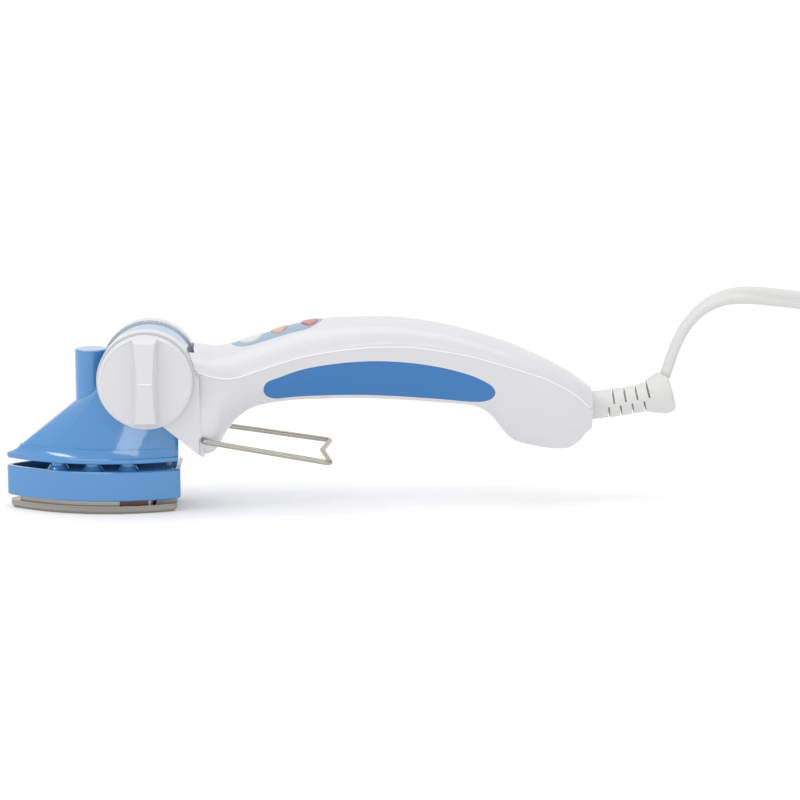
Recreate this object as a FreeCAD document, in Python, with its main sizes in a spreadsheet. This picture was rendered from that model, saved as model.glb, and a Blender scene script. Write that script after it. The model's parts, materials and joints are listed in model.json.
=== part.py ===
import FreeCAD, Part

import math
import os
import re

from FreeCAD import Placement, Rotation, Vector

# A small hand-held electric iron with a tilting head, in millimetres.
# X runs from the nose of the soleplate to the cord, Y from the lock-knob side (-Y) to the
# far side, Z up. The origin is the centre of the soleplate's ironing face.
SIZES = {
    # soleplate and heater
    "sole_tip": 40, "sole_rear": 40, "sole_half": 20.2, "sole_rear_half": 14.2, "sole_thick": 3.7,
    "sole_edge": 1.2,
    "bar_half": 7.3, "bar_front": 11, "bar_rear": 28, "bar_top": 10.7,
    "element_radius": 1.9, "element_leg": 4.6, "element_bend": 3,
    "thermostat_place": 2, "fuse_place": 14,
    # guard ring and the bosses that carry the housing
    "ring_bottom": 6.2, "ring_top": 20.4, "ring_tip": 41.7, "ring_rear": 42, "ring_half": 21,
    "ring_rear_half": 14.8, "ring_wall": 2.2, "ring_floor": 2,
    "boss_radius": 3.75, "boss_foot": 5, "boss_row": 13, "boss_front_row": 9.4,
    "boss_pitch": 16.6, "boss_middle": 0.4, "ring_edge": 0.5,
    # head housing
    "flange_bottom": 24.2, "flange_top": 26.7, "skirt_top": 62, "wall": 2.2,
    "post_place": -0.5, "post_radius": 7.75, "post_top": 76.6,
    "hub_place": 26.8, "hub_height": 64.6, "hub_radius": 22.3, "hub_half": 13.2, "hub_wall": 2.7,
    "sleeve_radius": 7.95, "bolt_radius": 4, "running_gap": 0.06, "lead_side": 16.6,
    # fork and handle
    "lobe_radius": 23.3, "lobe_inside": 13.5, "lobe_outside": 22, "slot_radius": 25.6,
    "shell_wall": 2.8, "seam": 0.12, "inlay": 1.5, "inlay_gap": 0.1,
    # wire stand
    "stand_place": 53.5, "stand_height": 35.6, "wire_radius": 1.25, "stand_leg": 23.5,
    "stand_end": 28, "stand_reach": 113.7, "stand_end_height": 25.8,
    # knob
    "knob_radius": 22.2, "knob_back": -22.3, "knob_face": -27, "knob_bar": -32.6,
    # control panel
    "panel_front": 66.5, "panel_rear": 110, "panel_half": 9.6, "panel_tilt": 14.2,
    "button_half": 6.7, "button_gap": 0.3, "button_proud": 0.5, "button_depth": 2.6,
    # cord
    "cord_radius": 3.45, "cord_width": 8.6, "hank_place": 430, "hank_height": 24.4,
    "tie_half": 4, "tie_thick": 1,
    # plug
    "plug_start": 515, "plug_side": 7, "plug_height": 6, "blade_gap": 12.7,
}

doc = FreeCAD.newDocument("iron")
sheet = doc.addObject("Spreadsheet::Sheet", "Sizes")
for row, (word, amount) in enumerate(SIZES.items(), start=1):
    sheet.set(f"A{row}", word)
    sheet.set(f"B{row}", str(amount))
    sheet.setAlias(f"B{row}", word)
doc.recompute()

kept = []
ALONG = {"x": Vector(1, 0, 0), "y": Vector(0, 1, 0), "z": Vector(0, 0, 1)}


# ---------------------------------------------------------------- helpers

def size(word):
    """A driving dimension, read from the sheet."""
    return float(getattr(sheet, word))


def formula(text):
    """A cell expression, from a formula in the sheet's words."""
    return re.sub(r"[a-z_]{2,}", lambda found: "Sizes." + found[0], str(text))


def value(text):
    """The number that a product or sum of the sheet's words comes to."""
    total = 0.0
    for term in text.split(" + "):
        product = 1.0
        for factor in term.split(" * "):
            factor = factor.strip("()")
            product *= float(factor) if factor.lstrip("-").isdigit() else size(factor)
        total += product
    return total


def bind(thing, **formulas):
    for name, text in formulas.items():
        thing.setExpression(name, formula(text))


def put(thing, place, direction="z"):
    """Bind a primitive's base point and turn its axis along a row axis."""
    thing.Placement = Placement(Vector(), Rotation(ALONG["z"], ALONG[direction]))
    for letter, text in zip("xyz", place):
        thing.setExpression("Placement.Base." + letter, formula(text))
    return thing


def cylinder(radius, length, place, direction="z"):
    thing = doc.addObject("Part::Cylinder", "Cylinder")
    bind(thing, Radius=radius, Height=length)
    return put(thing, place, direction)


def cone(radius, end_radius, length, place, direction="z"):
    thing = doc.addObject("Part::Cone", "Cone")
    bind(thing, Radius1=radius, Radius2=end_radius, Height=length)
    return put(thing, place, direction)


def box(length, width, height, corner):
    thing = doc.addObject("Part::Box", "Box")
    bind(thing, Length=length, Width=width, Height=height)
    return put(thing, corner)


def centred_box(length, width, height, centre):
    x, y, z = centre
    return box(length, width, height, (f"{x} - ({length}) / 2", f"{y} - ({width}) / 2", z))


def fuse(*things):
    thing = doc.addObject("Part::MultiFuse", "Fuse")
    thing.Shapes = list(things)
    return thing


def group(*things):
    """Several solids that share one node, such as a set of screws."""
    thing = doc.addObject("Part::Compound", "Group")
    thing.Links = list(things)
    return thing


def common(first, second):
    thing = doc.addObject("Part::MultiCommon", "Common")
    thing.Shapes = [first, second]
    return thing


def cut(base, *tools):
    thing = doc.addObject("Part::Cut", "Cut")
    thing.Base = base
    thing.Tool = tools[0] if len(tools) == 1 else fuse(*tools)
    return thing


def feature(shape):
    thing = doc.addObject("Part::Feature", "Shape")
    thing.Shape = shape
    return thing


def keep(thing, label):
    """Name a finished sub-part: its label is its node and its file."""
    thing.Label = label
    kept.append(thing)
    return thing


def guide(points, x):
    """The height at x of a smooth line through hand-placed (x, height) points."""
    if x <= points[0][0]:
        return points[0][1]
    if x >= points[-1][0]:
        return points[-1][1]
    i = max(k for k in range(len(points) - 1) if points[k][0] <= x)

    def slope(k):
        if k in (0, len(points) - 1):
            return 0.0
        left = (points[k][1] - points[k - 1][1]) / (points[k][0] - points[k - 1][0])
        right = (points[k + 1][1] - points[k][1]) / (points[k + 1][0] - points[k][0])
        return 0.0 if left * right <= 0 else 2 * left * right / (left + right)

    (x0, y0), (x1, y1) = points[i], points[i + 1]
    step = x1 - x0
    t = (x - x0) / step
    start, end = slope(i) * step, slope(i + 1) * step
    return (y0 * (1 + 2 * t) * (1 - t) ** 2 + y1 * t * t * (3 - 2 * t)
            + start * t * (1 - t) ** 2 - end * t * t * (1 - t))


def bent_path(points, radius=None, share=0.45):
    """Straight runs joined by tangent arcs. Returns the wire and the arcs' radii."""
    points = [Vector(*p) for p in points]
    edges, radii, last = [], [], points[0]
    for before, corner, after in zip(points, points[1:], points[2:]):
        inward = (before - corner).normalize()
        outward = (after - corner).normalize()
        turn = math.pi - inward.getAngle(outward)
        run = min((corner - before).Length, (after - corner).Length)
        bend = radius or share * run / math.tan(turn / 2)
        reach = bend * math.tan(turn / 2)
        start, end = corner + inward * reach, corner + outward * reach
        middle_way = (inward + outward).normalize()
        middle = corner + middle_way * (bend / math.cos(turn / 2) - bend)
        if (start - last).Length > 1e-6:
            edges.append(Part.LineSegment(last, start).toShape())
        edges.append(Part.Arc(start, middle, end).toShape())
        radii.append(bend)
        last = end
    edges.append(Part.LineSegment(last, points[-1]).toShape())
    return Part.Wire(edges), radii


def pipe(path, radius):
    """A round bar along a path."""
    first = path.Edges[0]
    start = first.valueAt(first.FirstParameter)
    along = first.tangentAt(first.FirstParameter)
    ring = Part.Wire([Part.Circle(start, along, radius).toShape()])
    return path.makePipeShell([ring], True, True)


def wire_piece(points, radius, bend):
    return feature(pipe(bent_path(points, bend)[0], radius))


def prism(points, y0, y1):
    """A polygon in X and Z, pushed along Y."""
    corners = [Vector(x, y0, z) for x, z in points]
    face = Part.Face(Part.makePolygon(corners + corners[:1]))
    return face.extrude(Vector(0, y1 - y0, 0))


# ---------------------------------------------------------------- boat-shaped outlines

def boat_edges(tip, rear, half, rear_half, z=0.0, nose=4.5, widest=7.0):
    """A pointed front, bowed sides and a straight rear with small round corners."""
    lean = nose * math.sqrt(0.5)
    right = [Vector(-tip + nose - lean, lean, z), Vector(widest, half, z),
             Vector(rear - 2.2, rear_half + 0.45, z), Vector(rear - 0.6, rear_half - 0.5, z),
             Vector(rear, rear_half - 2.2, z)]
    left = [Vector(p.x, -p.y, p.z) for p in right]
    return [Part.Arc(left[0], Vector(-tip, 0, z), right[0]),
            Part.Arc(right[0], right[1], right[2]), Part.Arc(right[2], right[3], right[4]),
            Part.LineSegment(right[4], left[4]),
            Part.Arc(left[4], left[3], left[2]), Part.Arc(left[2], left[1], left[0])]


def boat_wire(*sizes, **more):
    return Part.Wire([edge.toShape() for edge in boat_edges(*sizes, **more)])


def boat_plate(tip, rear, half, rear_half, bottom, thickness, nose=4.5):
    """A flat plate of that outline, its height and thickness bound to the sheet."""
    sketch = doc.addObject("Sketcher::SketchObject", "Outline")
    for edge in boat_edges(tip, rear, half, rear_half, nose=nose):
        sketch.addGeometry(edge, False)
    sketch.setExpression("Placement.Base.z", formula(bottom))
    thing = doc.addObject("Part::Extrusion", "Plate")
    thing.Base = sketch
    thing.DirMode = "Custom"
    thing.Dir = Vector(0, 0, 1)
    thing.Solid = True
    bind(thing, LengthFwd=thickness)
    return thing


def ring_outline(inset):
    """The guard ring's outline, moved inwards."""
    return (size("ring_tip") - inset * 1.25, size("ring_rear") - inset,
            size("ring_half") - inset, size("ring_rear_half") - inset)


def at_bosses(make):
    """One thing at each of the six bosses. The front pair stands closer together."""
    rows = [(-1, "boss_front_row"), (0, "boss_row"), (1, "boss_row")]
    return [make(f"boss_middle + ({along}) * boss_pitch", f"({side}) * {row}")
            for along, row in rows for side in (-1, 1)]


SOLE_SCREWS = [(x, y) for x in (-7.6, 26.6) for y in (-11.5, 11.5)]


# ---------------------------------------------------------------- head: plate and heater

def plane(body, role):
    return next(f for f in body.Origin.OriginFeatures if f.Role == role)


def body_sketch(body, name, role="XY_Plane", lift=None):
    sketch = body.newObject("Sketcher::SketchObject", name)
    sketch.AttachmentSupport = (plane(body, role), "")
    sketch.MapMode = "FlatFace"
    if lift is not None:
        sketch.setExpression("AttachmentOffset.Base.z", formula(lift))
    return sketch


def add_circle(sketch, x, y, radius):
    sketch.addGeometry(Part.Circle(Vector(x, y, 0), ALONG["z"], radius), False)


def soleplate():
    """The polished plate: a boat-shaped slab with an eased ironing edge."""
    body = doc.addObject("PartDesign::Body", "Soleplate")
    outline = body_sketch(body, "SoleOutline", lift="sole_edge")
    sizes = [size(word) for word in ("sole_tip", "sole_rear", "sole_half", "sole_rear_half")]
    for edge in boat_edges(*sizes):
        outline.addGeometry(edge, False)
    pad = body.newObject("PartDesign::Pad", "SolePad")
    pad.Profile = outline
    bind(pad, Length="sole_thick - sole_edge")
    ease = body.newObject("PartDesign::Pad", "SoleEdge")
    ease.Profile = outline
    ease.Reversed = True
    ease.TaperAngle = -40
    bind(ease, Length="sole_edge")
    holes = body_sketch(body, "SoleHoles", lift="sole_thick")
    for x, y in SOLE_SCREWS:
        add_circle(holes, x, y, 1.55)
    pocket = body.newObject("PartDesign::Pocket", "SoleTaps")
    pocket.Profile = holes
    pocket.Length = 2.4
    body.Tip = pocket
    return keep(body, "soleplate")


def element_path(front, rear, z):
    leg = size("element_leg")
    bend = Part.Arc(Vector(-front, -leg, z), Vector(-front - leg, 0, z), Vector(-front, leg, z))
    return Part.Wire([Part.LineSegment(Vector(rear, -leg, z), Vector(-front, -leg, z)).toShape(),
                      bend.toShape(),
                      Part.LineSegment(Vector(-front, leg, z), Vector(rear, leg, z)).toShape()])


def heater():
    """A cast bar on the plate, with a U of sheathed element let into its top."""
    bar = box("bar_front + bar_rear", "2 * bar_half", "bar_top - sole_thick",
              ("-bar_front", "-bar_half", "sole_thick"))
    stand = box("10", "5", "2.4", ("thermostat_place - 5", "-2.5", "bar_top - 0.1"))
    rest = box("12", "4.4", "2.1", ("fuse_place - 1", "-2.2", "bar_top - 0.1"))
    groove = feature(pipe(element_path(size("element_bend"), size("bar_rear") + 2,
                                       size("bar_top")), size("element_radius") + 0.1))
    keep(cut(fuse(bar, stand, rest), groove), "heater_block")
    element = pipe(element_path(size("element_bend"), size("bar_rear") + 4, size("bar_top")),
                   size("element_radius"))
    keep(feature(element), "heating_element")
    disc = cylinder("6.5", "5", ("thermostat_place", "0", "bar_top + 2.35"))
    rim = cylinder("7.3", "1", ("thermostat_place", "0", "bar_top + 4"))
    tabs = [box("5", "3", "0.8", (f"thermostat_place {x}", "-1.5", "bar_top + 7.3"))
            for x in ("- 9.5", "+ 4.5")]
    keep(fuse(disc, rim, *tabs), "thermostat")
    fuse_parts = [cylinder(radius, length, (f"fuse_place {x}", "0", "bar_top + 3.95"), "x")
                  for radius, length, x in (("1.9", "10", ""), ("0.5", "3", "- 2.5"),
                                            ("0.5", "3", "+ 9.5"))]
    keep(fuse(*fuse_parts), "thermal_fuse")
    block = box("7", "18", "10", ("32.3", "-9", "ring_bottom + ring_floor + 0.05"))
    clamps = [cylinder("1.6", "3", ("35.8", y, "ring_bottom + ring_floor + 8"))
              for y in ("-5.5", "0", "5.5")]
    keep(cut(block, *clamps), "terminal_block")


def spacers():
    """The heat-proof packing between plate and ring: a fibre pad, then a moulded block."""
    gap = "ring_bottom - sole_thick"
    outer = boat_plate(35.6, 38.5, 17.4, 12, "sole_thick", gap)
    inner = boat_plate(33, 45, 14.6, 11.8, "sole_thick - 1", gap + " + 2", nose=4.2)
    holes = [cylinder("1.8", "10", (x, y, "sole_thick - 2")) for x, y in SOLE_SCREWS]
    ring = cut(outer, inner, *holes)
    front = box("60", "60", "10", ("13.2 - 60", "-30", "sole_thick - 2"))
    middle = box("13.2", "60", "10", ("13.5", "-30", "sole_thick - 2"))
    keep(common(ring, front), "insulation_pad")
    keep(common(ring, middle), "thermal_spacer")


def guard_ring():
    """The lower blue tray, with six standing bosses that hold the housing clear of it."""
    edge, low, high = size("ring_edge"), size("ring_bottom"), size("ring_top")
    levels = [(edge, low), (0, low + edge), (0, high - edge), (edge, high)]
    outer = feature(Part.makeLoft([boat_wire(*ring_outline(inset), z) for inset, z in levels],
                                  True, True))
    inner = boat_plate(*ring_outline(size("ring_wall")), "ring_bottom + ring_floor", "30",
                       nose=3.2)
    opening = box("bar_front + bar_rear + 3", "2 * bar_half + 1.6", "6",
                  ("-bar_front - 1.5", "-bar_half - 0.8", "ring_bottom - 2"))
    floor_holes = [cylinder("1.7", "6", (x, y, "ring_bottom - 2")) for x, y in SOLE_SCREWS]
    tray = cut(outer, inner, opening, *floor_holes)
    start = "ring_bottom + ring_floor - 0.2"
    feet = at_bosses(lambda x, y: cylinder("boss_foot", f"ring_top + 0.01 - ({start})",
                                           (x, y, start)))
    waists = at_bosses(lambda x, y: cone("boss_foot", "boss_radius", "1.8", (x, y, "ring_top")))
    stems = at_bosses(lambda x, y: cylinder("boss_radius", "flange_bottom - ring_top - 1.79",
                                            (x, y, "ring_top + 1.79")))
    bores = at_bosses(lambda x, y: cylinder("1.65", "40", (x, y, "ring_bottom - 2")))
    wells = at_bosses(lambda x, y: cylinder("3", "6.3", (x, y, "ring_bottom - 0.5")))
    keep(cut(fuse(tray, *feet, *waists, *stems), *bores, *wells), "guard_ring")


def screw(x, y, z, shank, reach, head=2.8, head_height=1.8):
    """A screw that points up, its head's top face at z."""
    return fuse(cylinder(str(head), str(head_height), (x, y, f"{z} - {head_height}")),
                cylinder(str(shank), f"{reach} + 0.01", (x, y, f"{z} - 0.01")))


def head_screws():
    keep(group(*at_bosses(lambda x, y: screw(x, y, "12", 1.5, "16.5"))), "housing_screws")
    floor = "ring_bottom + ring_floor"
    screws = [fuse(cylinder("2.5", "1.6", (x, y, f"{floor} + 0.02")),
                   cylinder("1.5", "6.6", (x, y, f"{floor} - 6.5"))) for x, y in SOLE_SCREWS]
    keep(group(*screws), "soleplate_screws")


# ---------------------------------------------------------------- head: housing

def lobe_room(grow):
    """The space that the fork's two lobes and cheeks sweep, grown by a clearance."""
    tools = []
    for low, high in ((-60, -size("hub_half")), (size("hub_half"), 60)):
        disc = Part.makeCylinder(size("lobe_radius") + grow, high - low,
                                 Vector(size("hub_place"), low, size("hub_height")), ALONG["y"])
        cheek = prism([(size("hub_place"), size("hub_height")), (32.6, 42.3),
                       (45, 32.6 - grow), (60, 22), (60, 70)], low, high)
        tools += [disc, cheek]
    return tools


def mirrored(points):
    return [Vector(p.x, -p.y, p.z) for p in reversed(points)]


def arcs_through(points):
    """A chain of arcs: each pair of steps along the points is one arc."""
    return [Part.Arc(*points[k:k + 3]).toShape() for k in range(0, len(points) - 2, 2)]


def closed_outline(right, tip):
    """The outline's right side from nose to rear, its mirror, and the nose between them."""
    left = mirrored(right)
    nose = Part.Arc(left[-1], tip, right[0]).toShape()
    rear = Part.LineSegment(right[-1], left[0]).toShape()
    return Part.Wire([nose] + arcs_through(right) + [rear] + arcs_through(left))


def ridged_foot(tip, rear, half, rear_half, z):
    """The skirt's foot: the boat outline, its sides split where the ridge comes down."""
    _, front, corner, _, _, _ = boat_edges(tip, rear, half, rear_half, z, widest=12)
    first, last = front.FirstParameter, front.LastParameter
    shares = (0, 0.12, 0.24, 0.62, 1)
    right = [front.value(first + share * (last - first)) for share in shares]
    right += [corner.value((corner.FirstParameter + corner.LastParameter) / 2), corner.EndPoint]
    return closed_outline(right, Vector(-tip, 0, z))


def ridged_peak(tip, rear, half, z):
    """The skirt's upper end, as wide as the hub, with a corner where the ridge starts."""
    right = [(tip + 0.5, 5), (tip + 0.9, 9.4), (tip + 2.4, half - 0.8), (22, half),
             (rear - 2, half), (rear - 0.6, half - 0.7), (rear, half - 2.2)]
    return closed_outline([Vector(x, y, z) for x, y in right], Vector(tip, 0, z))


def head_housing():
    """The flared skirt that runs up to the hub, the hub drum and the round post."""
    rear, wall = size("ring_rear") - 0.8, size("wall")
    z0, z1, top = size("flange_bottom"), size("flange_top"), size("skirt_top")
    half, radius = size("hub_half"), size("hub_radius")
    hub = Vector(size("hub_place"), 0, size("hub_height"))
    post_foot = Vector(size("post_place"), 0, 44)

    flange = Part.makeLoft([boat_wire(41.3, rear, 20.5, 14.3, z0),
                            boat_wire(41.7, rear, 20.9, 14.7, z0 + 0.4),
                            boat_wire(41.7, rear, 20.9, 14.7, z1 - 0.5),
                            boat_wire(41.1, rear, 20.4, 14.2, z1)], True, True)
    flare = [boat_wire(40.9, rear, 20.3, 14.1, z1 - 0.1), boat_wire(38.2, rear, 19.8, 14.0, z1 + 1),
             boat_wire(36.1, rear, 19.3, 13.9, z1 + 2.5), boat_wire(35.3, rear, 19.0, 13.8, z1 + 4)]
    skirt = Part.makeLoft([ridged_foot(34.6, rear, 18.6, 13.7, z1 + 3.8),
                           ridged_peak(4.2, rear, half - 0.1, top)], True, True)
    drum = Part.makeCylinder(radius, 2 * half, hub - Vector(0, half, 0), ALONG["y"])
    post = Part.makeCylinder(size("post_radius"), size("post_top") - post_foot.z, post_foot)
    post = post.makeFillet(0.8, [e for e in post.Edges if e.BoundBox.ZMin > 70])
    shell = flange
    for more in (Part.makeLoft(flare, True, False), skirt, drum, post):
        shell = shell.fuse(more)

    under = boat_wire(36.5, rear - wall, 18.4, 12.3, z1, nose=3.5)
    low = boat_wire(32, rear - wall, 16.4, 11.6, z1 + 4, nose=3.5, widest=12)
    high = boat_wire(-6, rear - wall, 10.2, 10.0, top - 1, nose=7, widest=22)
    inside = half - size("hub_wall")
    hollow = [Part.makeLoft([under, low], True, True), Part.makeLoft([low, high], True, True),
              Part.makeCylinder(radius - wall, 2 * inside, hub - Vector(0, inside, 0), ALONG["y"]),
              Part.makeCylinder(size("post_radius") - wall, size("post_top") - wall - post_foot.z,
                                post_foot),
              Part.makeBox(57, 14, 4, Vector(-18, -7, z0 - 1))]
    for space in hollow:
        shell = shell.cut(space)
    places = at_bosses(lambda x, y: (value(x), value(y)))
    bosses = [Part.makeCylinder(3.4, 6.2, Vector(x, y, z0)) for x, y in places]
    taps = [Part.makeCylinder(1.55, 5, Vector(x, y, z0 - 0.1)) for x, y in places]
    bolt = size("bolt_radius") + size("running_gap")
    sleeve = size("sleeve_radius") + size("running_gap")
    bores = [Part.makeCylinder(bolt, 8, hub - Vector(0, half + 1, 0), ALONG["y"]),
             Part.makeCylinder(sleeve, 8, hub + Vector(0, half - 5, 0), ALONG["y"])]
    recess = Part.makeCylinder(15.1, 1.6, hub - Vector(0, half + 0.05, 0), ALONG["y"])
    middle = Part.makeCylinder(8.9, 1.6, hub - Vector(0, half + 0.05, 0), ALONG["y"])
    shell = shell.fuse(bosses).cut(taps + bores + [recess.cut(middle)] + lobe_room(0.6))
    keep(feature(shell.removeSplitter()), "head_housing")


def detent_ring(label, face, inwards):
    """A ring with sixteen radial notches, set flush in the face that it indexes."""
    outer = cylinder("15", "1.5", ("hub_place", face, "hub_height"), "y")
    inner = cylinder("9", "1.6", ("hub_place", f"{face} - 0.05", "hub_height"), "y")
    ring = cut(outer, inner)
    teeth = []
    for k in range(16):
        groove = doc.addObject("Part::Box", "Notch")
        groove.Length, groove.Width, groove.Height = 8, 0.6, 1.1
        turn = Rotation(ALONG["y"], k * 22.5)
        centre = Vector(size("hub_place"), 0, size("hub_height"))
        low = turn.multVec(Vector(8.5, 0, -0.55))
        groove.Placement = Placement(centre + Vector(low.x, inwards, low.z), turn)
        teeth.append(groove)
    keep(cut(ring, *teeth), label)


def head_leads():
    """The sheathed leads from the terminal block up the column to the hub's axis."""
    x, z = size("hub_place"), size("hub_height")
    route = [(35.8, 0, 16.4), (35.8, 0, 36), (x, -3, 48), (x, -3, z), (x, 6, z)]
    keep(wire_piece(route, 1.5, 4), "head_leads")


# ---------------------------------------------------------------- handle guides and sections

TOP = [(44, 78.0), (51, 78.0), (58, 77.1), (65, 78.4), (79, 82.4), (94, 87.2), (108, 90.2),
       (122, 91.3), (137, 91.3), (151, 90.2), (166, 87.8), (180, 84.3), (195, 79.7), (209, 74.0),
       (223, 67.0), (231, 62.4), (236, 58.6), (238.5, 56.8)]
CREASE = [(44, 70.2), (51, 68.6), (58, 66.2), (66, 65.1), (79, 68.4), (89, 71.7), (101, 75.0),
          (110, 76.7), (121, 78.2), (137, 79.4), (149, 79.4), (164, 77.6), (177, 75.4),
          (190, 72.0), (203, 68.1), (215, 64.0), (223, 60.0), (231, 55.0), (238.5, 49.0)]
BELLY = [(44, 34.8), (48, 31.3), (52, 27.9), (57, 27.9), (61, 32.5), (65.8, 39.8), (70, 44.4),
         (76, 48.4), (84, 50.4), (94, 51.6), (108, 52.3), (130, 52.4), (150, 51.3), (170, 49.8),
         (181, 48.6), (188, 45.8), (194.5, 38.9), (201, 31.9), (209, 29.2), (216, 28.0),
         (223, 27.0), (230, 28.6), (235, 33.6), (238.5, 36.9)]
HALF = [(44, 22.0), (54, 22.0), (62, 21.2), (72, 19.6), (84, 18.6), (100, 18.0), (130, 17.5),
        (180, 17.5), (205, 18.2), (222, 17.6), (234, 15.6), (238.5, 14.0)]
SQUARE = [(44, 9.0), (56, 7.0), (70, 4.4), (90, 3.6), (180, 3.6), (205, 3.6), (238.5, 3.4)]
DOME = [(44, 2.5), (56, 2.3), (70, 1.9), (108, 1.9), (130, 2.2), (150, 2.5)]
# Below the shoulder the flank leans inwards, by this share of the half width at the belly.
SHOULDER_LINE = [(44, 50), (61, 55), (70, 62), (81, 67), (96, 71), (113, 74), (137, 76),
                 (164, 73.5), (180, 70), (192, 65.5), (206, 57), (219, 48), (231, 40.5),
                 (238.5, 44)]
LEAN = [(44, 0.0), (59, 0.0), (65, 0.24), (80, 0.26), (185, 0.26), (200, 0.30), (222, 0.28),
        (238.5, 0.12)]
STATIONS = [44, 47, 50, 53, 56, 59, 62, 65, 68, 72, 77, 84, 92, 102, 114, 128, 143, 158, 172, 182,
            189, 194, 199, 205, 212, 219, 226, 232, 236, 238.5]
HALF_STEPS = 12


def half_points(x, inset, upper, gap=0.0):
    """Points round half of the handle's section at x, above or below its parting line."""
    crease = guide(CREASE, x)
    end = guide(TOP, x) - inset if upper else guide(BELLY, x) + inset
    half = guide(HALF, x) - inset
    power = guide(DOME if upper else SQUARE, x)
    shoulder, lean = guide(SHOULDER_LINE, x), guide(LEAN, x)
    points = []
    for k in range(HALF_STEPS + 1):
        angle = math.pi * k / HALF_STEPS
        across, deep = math.cos(angle), math.sin(angle)
        across = math.copysign(abs(across) ** (2 / power), across) if 2 * k != HALF_STEPS else 0
        deep = deep ** (2 / power) if 0 < k < HALF_STEPS else 0
        z = crease + gap + (end - crease - gap) * deep
        below = 0 if upper else max(0.0, (shoulder - z) / (shoulder - guide(BELLY, x)))
        points.append(Vector(x, half * across * (1 - lean * below), z))
    return points


def handle_half(upper):
    """The outside of one handle shell, a little short of the parting line."""
    gap = size("seam") / 2 * (1 if upper else -1)
    wires = []
    for x in STATIONS:
        points = half_points(x, 0, upper, gap)
        curve = Part.BSplineCurve()
        curve.interpolate(points)
        wires.append(Part.Wire([curve.toShape(),
                                Part.LineSegment(points[-1], points[0]).toShape()]))
    return Part.makeLoft(wires, True, False)


def core(inset, first, last):
    """The handle's whole form between two stations, moved inwards by a wall."""
    wires = []
    for x in STATIONS:
        if first <= x <= last:
            points = half_points(x, inset, True) + half_points(x, inset, False)[-2:0:-1]
            curve = Part.BSplineCurve()
            curve.interpolate(points, PeriodicFlag=True)
            wires.append(Part.Wire([curve.toShape()]))
    return Part.makeLoft(wires, True, False)


def hub_cylinder(radius, low, high):
    return Part.makeCylinder(radius, high - low,
                             Vector(size("hub_place"), low, size("hub_height")), ALONG["y"])


GRIP_TOP = [(82.0, 59.6), (83.4, 62.4), (87.8, 64.5), (96.3, 67.6), (113.2, 71.1), (130, 72.5),
            (146.9, 72.1), (163.8, 69.8), (176.5, 66.7), (187.5, 62.1), (191.4, 58.6)]
GRIP_BOTTOM = [(191.8, 56.2), (189.2, 53.2), (184.1, 51.8), (172.3, 52.4), (155.4, 53.8),
               (138.5, 54.9), (121.6, 55.3), (104.7, 55.0), (92, 54.2), (86.1, 54.2),
               (82.9, 56.1)]


def grip_outline(low, high, shrink=0.0):
    """The long leaf-shaped outline of a grip inlay, drawn in by a gap and pushed along Y."""
    middle, half_long, half_tall = (137, 63), 55, 9.5
    points = [Vector(middle[0] + (x - middle[0]) * (1 - shrink / half_long), low,
                     middle[1] + (z - middle[1]) * (1 - shrink / half_tall))
              for x, z in GRIP_TOP + GRIP_BOTTOM]
    curve = Part.BSplineCurve()
    curve.interpolate(points, PeriodicFlag=True)
    return Part.Face(Part.Wire([curve.toShape()])).extrude(Vector(0, high - low, 0))


def stadium(front, rear, half, low, high, shrink=0.0):
    """An upright prism with round ends, along X."""
    front, rear, half = front + shrink, rear - shrink, half - shrink
    nose = Part.Arc(Vector(front + half, half, low), Vector(front, 0, low),
                    Vector(front + half, -half, low))
    tail = Part.Arc(Vector(rear - half, -half, low), Vector(rear, 0, low),
                    Vector(rear - half, half, low))
    wire = Part.Wire([nose.toShape(), Part.LineSegment(nose.EndPoint, tail.StartPoint).toShape(),
                      tail.toShape(), Part.LineSegment(tail.EndPoint, nose.StartPoint).toShape()])
    return Part.Face(wire).extrude(Vector(0, 0, high - low))


def lead_hole(length):
    """The passage in the far cheek for the leads, from the hub's axis towards the handle."""
    start = Vector(size("hub_place"), size("lead_side"), size("hub_height"))
    return Part.makeCylinder(2.2, length, start, ALONG["x"])


SHELL_SCREWS = (122, 176, 214)
BUTTONS = {"off_button": (76.0, 6.4), "low_button": (89.5, 3.9), "high_button": (103.9, 3.9)}


def button_prism(label, grow, low, high):
    """A button's oval outline, pushed along the way it travels, square to the panel."""
    middle, long = BUTTONS[label]
    long, wide = long + grow, size("button_half") + grow
    oval = Part.Ellipse(Vector(0, 0, low), max(long, wide), min(long, wide)).toShape()
    if wide > long:
        oval.rotate(Vector(0, 0, low), ALONG["z"], 90)
    solid = Part.Face(Part.Wire([oval])).extrude(Vector(0, 0, high - low))
    tilt = Rotation(ALONG["y"], -size("panel_tilt"))
    centre = Vector(middle, 0, guide(TOP, middle))
    return solid.transformGeometry(Placement(centre, tilt).toMatrix())


def relief_hole():
    """The round hole through both shells that the cord's sleeve sits in."""
    return Part.makeCylinder(6.9, 14, Vector(228, 0, 47.15), Vector(1, 0, 0.058))


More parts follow.
